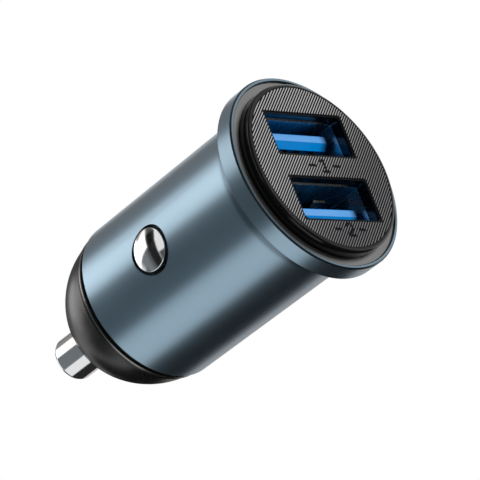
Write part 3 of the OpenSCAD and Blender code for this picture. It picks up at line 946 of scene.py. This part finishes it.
@dataclass
class PressureSpring:
    """Wire spring behind a sprung contact, built at its full length.

    The sizes here are a side contact's. The level counts only along X.
    """

    name: str
    node: str
    joint: str
    fixed_high: bool
    axis: int = 0
    level: float = -15.8 * MM
    travel: float = 0.8 * MM
    radius: float = 1.55 * MM
    wire: float = 0.3 * MM
    turns: float = 5.0

    def build(self, finish: bpy.types.Material) -> bpy.types.Object:
        """Makes the spring between the ends of its node.

        Along X the helix is turned so that Z, X and Y take the places of X, Y and Z.

        Args:
            finish: The wire's metal.

        Returns:
            The piece, which rides on the housing.
        """
        low, high = (corner[self.axis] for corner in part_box(self.node))
        length = high - low
        places, faces = coiled(self.radius, self.wire, length, self.turns)
        places[:, 2] += low
        if self.axis == 0:
            places = places[:, [2, 0, 1]]
            places[:, 2] += self.level
        made = new_piece(self.name, places, faces, smooth=True)
        crisp(made, Edge.WIRE)
        made.data.materials.append(finish)
        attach(made, "housing")
        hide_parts(self.node)
        way, anchor = np.zeros(3), np.zeros(3)
        way[self.axis] = 1.0
        anchor[self.axis] = high if self.fixed_high else low
        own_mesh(made)
        LOG.info("piece %s: %d faces", self.name, len(made.data.polygons))
        return made


@dataclass
class SideContact:
    """Sprung side contact: a turned stud with a polished crown, a flange and a spring pocket.

    Distances out run from the part's axis along X. The crown is part of a ball, and a rounded edge
    joins it to the shank.
    """

    name: str
    node: str
    body: str
    side: int
    level: float = -15.8 * MM
    radius: float = 2.525 * MM
    edge: float = 0.15 * MM
    ball: float = 5.6213 * MM
    top: float = 10.95 * MM
    flange: tuple[float, float] = (8.01 * MM, 8.51 * MM)
    flange_radius: float = 2.945 * MM
    pocket: float = 9.85 * MM
    pocket_radius: float = 1.95 * MM
    edge_points: int = 9
    crown_points: int = 32
    columns: int = 128

    def outline(self) -> np.ndarray:
        """Outline from the pocket's floor, round the flange and up to the crown's top.

        The edge is a circle that touches the shank and, from inside, the ball. Its centre lies one
        edge radius within the shank, and the ball's radius less one edge radius from the ball's
        centre.

        Returns:
            Distance out and radius of each point, one row each, in metres.
        """
        centre = self.top - self.ball
        inner, far = self.radius - self.edge, self.ball - self.edge
        edge_out = centre + math.sqrt(far**2 - inner**2)
        touch = math.asin(inner / far)
        bend = np.linspace(np.pi / 2, touch, self.edge_points)
        bend_out, bend_up = self.edge * np.cos(bend), self.edge * np.sin(bend)
        edge = np.column_stack([edge_out + bend_out, inner + bend_up])
        fall = np.linspace(touch, 0.0, self.crown_points + 1)[1:]
        crown = np.column_stack([centre + self.ball * np.cos(fall), self.ball * np.sin(fall)])
        low, high = self.flange
        seat = np.array(
            [
                [self.pocket, 0.0],
                [self.pocket, self.pocket_radius],
                [low, self.pocket_radius],
                [low, self.flange_radius],
                [high, self.flange_radius],
                [high, self.radius],
            ]
        )
        return np.vstack([seat, edge, crown])

    def build(self, finish: bpy.types.Material) -> bpy.types.Object:
        """Makes the stud on its side of the barrel in place of its node.

        Args:
            finish: The plating.

        Returns:
            The piece, which rides on its own sprung body.
        """
        places, faces = turned(self.outline(), self.columns)
        places[:, 0] *= self.side
        places[:, 1] *= self.side
        places[:, 2] += self.level
        made = new_piece(self.name, places, faces, smooth=True)
        crisp(made, Edge.TURNED)
        made.data.materials.append(finish)
        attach(made, self.body)
        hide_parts(self.node)
        LOG.info("piece %s: %d faces", self.name, len(made.data.polygons))
        return made


# The CAD pieces and their finishes


@dataclass
class DressedFrame:
    """Every CAD piece with its finish and its shading."""

    nodes: dict[str, bpy.types.Object]
    finishes: dict[str, Finish] = field(default_factory=dict)
    merge: float = 0.002 * MM

    def plan(self) -> None:
        """Sets which finish each piece takes."""
        chrome = PlatedMetal("contact_chrome", (0.93, 0.94, 0.95), roughness=0.1)
        gilt = DrawnMetal("contact_gilt", (0.83, 0.7, 0.38), roughness=0.22)
        steel = DrawnMetal("sleeve_steel", (0.62, 0.63, 0.65), roughness=0.28)
        spring = DrawnMetal("spring_steel", (0.55, 0.55, 0.57), roughness=0.3, along="x")
        brass = DrawnMetal("clip_brass", (0.8, 0.65, 0.33), roughness=0.3, along="x")
        resin = (0.025, 0.025, 0.027)
        smoky, black = (0.17, 0.17, 0.17), (0.006, 0.006, 0.007)
        blue = TongueResin("tongue_plastic", (0.0, 0.28, 0.8))
        lamp = LampResin("lamp_resin", (0.9, 0.88, 0.74))
        self.finishes = {
            "outer_body": TurnedMetal("body_metal", (0.345, 0.49, 0.60)),
            "light_ring": MouldedPlastic("smoky_plastic", smoky, 0.2, 0.0002 * MM, 0.4),
            "face_plate": MouldedPlastic("face_plastic", black, 0.14, 0.0004 * MM, 0.4),
            "face_inlay": RibbedInlay(
                "inlay_plastic",
                black,
                (PortMark((0.3 * MM, 0.1 * MM), 1), PortMark((0.3 * MM, -8.05 * MM), 2)),
            ),
            "main_board": BoardLaminate("board_laminate", (0.015, 0.15, 0.07)),
            "inner_frame": MouldedPlastic("frame_plastic", (0.02, 0.02, 0.02), 0.45),
            "tip_pin": chrome,
            "tip_spring": spring,
            "positive_plate": brass,
            "coil_core": MouldedPlastic("ferrite", (0.05, 0.05, 0.052), 0.6, 0.01 * MM, 0.4),
            "coil_winding": WoundWire("winding_copper", (0.62, 0.28, 0.1)),
            "input_capacitor": SleevedCan("can_sleeved", (0.03, 0.06, 0.2)),
            "output_capacitor": DrawnMetal("can_bare", (0.72, 0.73, 0.75), 0.3, "y"),
            "converter_chip": TwoPartFinish("chip_resin", resin, middle=3.6 * MM, half=1.82 * MM),
            "charge_chip": TwoPartFinish("chip_resin", resin, middle=1.075 * MM, half=0.82 * MM),
            "diode": TwoPartFinish("chip_resin", resin, axis=2, middle=-22.35 * MM, half=2.01 * MM),
            "fuse": TwoPartFinish(
                "fuse_ceramic", (0.8, 0.8, 0.76), (0.72, 0.72, 0.7), 2, -22.35 * MM, 1.15 * MM, 0.4
            ),
            "nose_cap": NoseCap("nose_plastic", (0.004, 0.004, 0.004), 0.28, 0.0012 * MM, 0.56),
        }
        for side in ("left", "right"):
            self.finishes[f"led_{side}"] = lamp
            self.finishes[f"contact_stud_{side}"] = chrome
            self.finishes[f"stud_spring_{side}"] = spring
            self.finishes[f"ground_clip_{side}"] = brass
        for port in ("upper", "lower"):
            self.finishes[f"port_sleeve_{port}"] = steel
            self.finishes[f"port_tongue_{port}"] = blue
            for lead in ("supply", "data_a", "data_b", "return"):
                self.finishes[f"{port}_pin_{lead}"] = gilt

    def shade(self, piece: bpy.types.Object) -> None:
        """Merges the loose triangles for display, shades them smooth and keeps edges crisp.

        Args:
            piece: A CAD piece.
        """
        piece.data.polygons.foreach_set("use_smooth", np.full(len(piece.data.polygons), True))
        weld = piece.modifiers.new("weld", "WELD")
        weld.merge_threshold = self.merge
        crisp(piece, Edge.TURNED)

    def dress(self) -> None:
        """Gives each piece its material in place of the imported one."""
        self.plan()
        made: dict[Finish, bpy.types.Material] = {}
        for name, piece in self.nodes.items():
            finish = self.finishes[name]
            if finish not in made:
                made[finish] = finish.material()
            piece.data.materials.clear()
            piece.data.materials.append(made[finish])
            first = np.zeros(len(piece.data.polygons), np.int32)
            piece.data.polygons.foreach_set("material_index", first)
            self.shade(piece)
            LOG.info("piece %s: %s", name, finish.name)


# Studio and camera


@dataclass(frozen=True)
class Card:
    """A lit or dark card that only gloss sees, as a patch of a ball round the object.

    Angles are in degrees: azimuth from +X towards +Y, elevation from the horizon up. The soft
    numbers are the share of the card, from its edge in, over which it fades. A cap closes at the
    pole and fades only at its upper edge.
    """

    name: str
    azimuth: tuple[float, float]
    elevation: tuple[float, float]
    strength: float
    soft_azimuth: float
    soft_elevation: float
    distance: float
    tint: Colour = (1.0, 1.0, 1.0)
    cap: bool = False


@dataclass
class Studio:
    """White surround, cards for gloss, a soft key lamp from behind and a pale floor."""

    floor_z: float = -0.068
    floor_size: float = 6.0
    fill_light: float = 0.14
    key_azimuth: float = 34.0
    key_elevation: float = 60.0
    key_distance: float = 1.2
    key_size: float = 0.5
    key_energy: float = 17.0
    floor_tone: float = 0.93
    floor_glow: float = 0.9
    cards: tuple[Card, ...] = (
        Card("flag_low", (280, 372), (-86, -46), 0.015, 0.1, 0.1, 0.78),
        Card("flag_low_end", (354, 396), (-58, -44), 0.015, 0.15, 0.25, 0.782),
        Card("flag_behind", (4, 82), (-74, -41), 0.13, 0.2, 0.12, 0.785),
        Card("strip_low", (66, 136), (-76, -50), 2.2, 0.25, 0.25, 0.79),
        Card("flag_left", (44, 112), (-62, 30), 0.26, 0.2, 0.12, 0.80, (1.0, 0.92, 0.88)),
        Card("flag_front_top", (150, 225), (-47, -3), 0.015, 0.08, 0.5, 0.803),
        Card("flag_front", (151, 225), (-76, -20), 0.18, 0.08, 0.3, 0.806, (0.9, 1.0, 1.06)),
        Card("flag_low_front", (180, 258), (-84, -55), 0.1, 0.2, 0.2, 0.804),
        Card("flag_right", (270, 345), (-64, 30), 0.02, 0.08, 0.12, 0.81),
        Card("shade_right", (322, 398), (-60, 8), 0.58, 0.45, 0.12, 0.815, (1.0, 0.92, 0.88)),
        Card("flag_level", (122, 232), (-33, -8), 0.008, 0.08, 0.12, 0.82),
        Card("flag_level_start", (94, 150), (-36, -6), 0.085, 0.1, 0.3, 0.825),
        Card("band_upper", (60, 350), (12, 78), 0.06, 0.08, 0.12, 0.84),
        Card("flag_level_end", (177, 232), (-10, 16), 0.07, 0.08, 0.12, 0.853),
        Card("strip_level", (126, 184), (-8, 12), 0.75, 0.12, 0.12, 0.855),
        Card("box_over", (-8, 60), (20, 60), 0.45, 0.15, 0.15, 0.86),
        Card("box_left", (98, 160), (-84, -29), 1.9, 0.42, 0.14, 0.88, (1.0, 0.94, 0.91)),
        Card("box_right", (213, 283), (-60, 10), 0.8, 0.15, 0.15, 0.89),
        Card("bowl", (0, 360), (-90, -61), 0.75, 0.0, 0.2, 0.92, cap=True),
    )

    def world(self) -> None:
        """White for the camera, gloss and clear stuff, and a little softer for matt light."""
        world = bpy.data.worlds.new("white_surround")
        bpy.context.scene.world = world
        world.use_nodes = True
        world.cycles.sampling_method = "NONE"
        g = Graph(world.node_tree)
        rays = g.raw("LightPath", {}, {}).outputs
        seen = [Wire(g, rays[f"Is {kind} Ray"]) for kind in ("Camera", "Glossy", "Transmission")]
        strength = (seen[0] + seen[1] + seen[2]).ramp(0, 1, self.fill_light, 1.0)
        glow = g.node("Background", {}, {"Color": (1, 1, 1), "Strength": strength})
        g.raw("OutputWorld", {}, {"Surface": glow})

    def card_material(self, card: Card) -> bpy.types.Material:
        """Glow that fades at the card's edges, read from its own UV map.

        Args:
            card: The card.

        Returns:
            The material.
        """
        made = bpy.data.materials.new(card.name)
        made.use_nodes = True
        g = Graph(made.node_tree)
        u, v, _ = g.axes(g.node("TexCoord", out="UV"))
        if card.cap:
            solid = (1.0 - v).ramp(0.0, card.soft_elevation)
        else:
            side = (0.5 - abs(u - 0.5)).ramp(0.0, card.soft_azimuth)
            solid = side * (0.5 - abs(v - 0.5)).ramp(0.0, card.soft_elevation)
        glow = g.node("Emission", {}, {"Color": card.tint, "Strength": card.strength})
        clear = g.node("BsdfTransparent")
        mixed = g.node("MixShader", {}, {0: solid, 1: clear, 2: glow})
        g.raw("OutputMaterial", {}, {"Surface": mixed})
        made.cycles.emission_sampling = "NONE"
        return made

    def card(self, card: Card) -> bpy.types.Object:
        """Builds a card: points at its distance, in rows of elevation and columns of azimuth.

        Args:
            card: The card.

        Returns:
            The piece of the stage.
        """
        across, up = 73 if card.cap else 33, 17
        azimuth = np.radians(np.linspace(*card.azimuth, across))[None, :]
        elevation = np.radians(np.linspace(*card.elevation, up))[:, None]
        level = np.cos(elevation)
        way = (level * np.cos(azimuth), level * np.sin(azimuth), np.sin(elevation))
        points = card.distance * np.stack(np.broadcast_arrays(*way), axis=-1).reshape(-1, 3)
        made = new_piece(card.name, points, grid_faces(up, across))
        edges = np.meshgrid(np.linspace(0, 1, across), np.linspace(0, 1, up))
        share = np.stack(edges, axis=-1).reshape(-1, 2)
        corners = np.zeros(len(made.data.loops), np.int32)
        made.data.loops.foreach_get("vertex_index", corners)
        made.data.uv_layers.new(name="card").data.foreach_set("uv", share[corners].ravel())
        made.data.materials.append(self.card_material(card))
        for unseen in ("camera", "diffuse", "transmission", "shadow", "volume_scatter"):
            setattr(made, f"visible_{unseen}", False)
        return made

    def floor(self) -> bpy.types.Object:
        """Pale floor under the tip, clear from below and for gloss, so that the low cards show.

        Returns:
            The piece of the stage.
        """
        half = self.floor_size / 2
        x, y = np.meshgrid([-half, half], [-half, half])
        points = np.column_stack([x.ravel(), y.ravel(), np.full(4, self.floor_z)])
        made = new_piece("floor", points, grid_faces(2, 2))
        material = bpy.data.materials.new("pale_floor")
        material.use_nodes = True
        g = Graph(material.node_tree)
        seen = g.node("LightPath", out="Is Camera Ray")
        matt = g.node("BsdfDiffuse", {}, {"Color": (self.floor_tone,) * 3})
        white = g.node("Emission", {}, {"Color": (1, 1, 1), "Strength": 1.0})
        pale = g.node("MixShader", {}, {0: seen * self.floor_glow, 1: matt, 2: white})
        under = g.node("NewGeometry", out="Backfacing")
        clear = g.node("BsdfTransparent")
        whole = g.node("MixShader", {}, {0: under, 1: pale, 2: clear})
        g.raw("OutputMaterial", {}, {"Surface": whole})
        made.data.materials.append(material)
        made.visible_glossy = False
        return made

    def lamp(self) -> bpy.types.Object:
        """Soft key lamp behind the head, which leaves the ring's near side in the face's shadow.

        Returns:
            The lamp.
        """
        light = bpy.data.lights.new("key_lamp", "AREA")
        light.shape = "DISK"
        light.size = self.key_size
        light.energy = self.key_energy
        made = bpy.data.objects.new("key_lamp", light)
        azimuth, elevation = math.radians(self.key_azimuth), math.radians(self.key_elevation)
        level = math.cos(elevation)
        across, back = level * math.cos(azimuth), level * math.sin(azimuth)
        to_lamp = Vector((across, back, math.sin(elevation)))
        turn = to_lamp.to_track_quat("Z", "Y").to_matrix().to_4x4()
        made.matrix_world = Matrix.Translation(to_lamp * self.key_distance) @ turn
        made.visible_camera = False
        made.visible_glossy = False
        bpy.context.scene.collection.objects.link(made)
        return made

    def build(self) -> None:
        """Makes the world, the floor, the lamp and every card."""
        self.world()
        self.floor()
        self.lamp()
        for card in self.cards:
            self.card(card)
        LOG.info("studio: %d cards", len(self.cards))


@dataclass(frozen=True)
class PhotoCamera:
    """Camera at the photograph's place, in millimetres and unit axes."""

    place: tuple[float, float, float] = (-231.9, -113.4, 179.5)
    right: tuple[float, float, float] = (0.69056, -0.34238, 0.63710)
    up: tuple[float, float, float] = (-0.01956, 0.87170, 0.48966)
    back: tuple[float, float, float] = (-0.72301, -0.35060, 0.59526)
    lens: float = 209.8
    sensor: float = 36.0
    clip: tuple[float, float] = (0.01, 20.0)

    def build(self) -> bpy.types.Object:
        """Makes the camera and sets it as the scene's.

        Returns:
            The camera.
        """
        data = bpy.data.cameras.new("camera")
        data.lens = self.lens
        data.sensor_width = self.sensor
        data.clip_start, data.clip_end = self.clip
        made = bpy.data.objects.new("camera", data)
        turn = np.column_stack([self.right, self.up, self.back])
        whole = np.eye(4)
        whole[:3, :3] = turn
        whole[:3, 3] = np.array(self.place) * MM
        made.matrix_world = Matrix(whole.tolist())
        bpy.context.scene.collection.objects.link(made)
        bpy.context.scene.camera = made
        return made


def springs() -> list[PressureSpring]:
    """The spring behind the tip pin, and the two behind the side contacts.

    Returns:
        The springs, each with fixed_high set for the end that its contact doesn't press.
    """
    sides = [
        PressureSpring(
            f"side_coil_{side}", f"stud_spring_{side}", f"stud_{side}_travel", side == "left"
        )
        for side in ("left", "right")
    ]
    tip = PressureSpring(
        "tip_coil",
        "tip_spring",
        "tip_travel",
        fixed_high=True,
        axis=2,
        travel=2.4 * MM,
        radius=2.5 * MM,
        wire=0.5 * MM,
        turns=6.5,
    )
    return [tip, *sides]


def main() -> None:
    """Builds camera, studio, CAD finishes, side contacts and springs, in that order."""
    logging.basicConfig(level=logging.INFO, format="%(name)s: %(message)s")
    bpy.context.scene.view_settings.view_transform = "Standard"
    PhotoCamera().build()
    Studio().build()
    nodes = frame["nodes"]
    DressedFrame(nodes).dress()
    plating = nodes["tip_pin"].data.materials[0]
    for side, sign in (("left", -1), ("right", 1)):
        names = f"side_contact_{side}", f"contact_stud_{side}", f"stud_{side}"
        SideContact(*names, sign).build(plating)
    wire = nodes["tip_spring"].data.materials[0]
    for spring in springs():
        spring.build(wire)


if __name__ == "__main__":
    main()
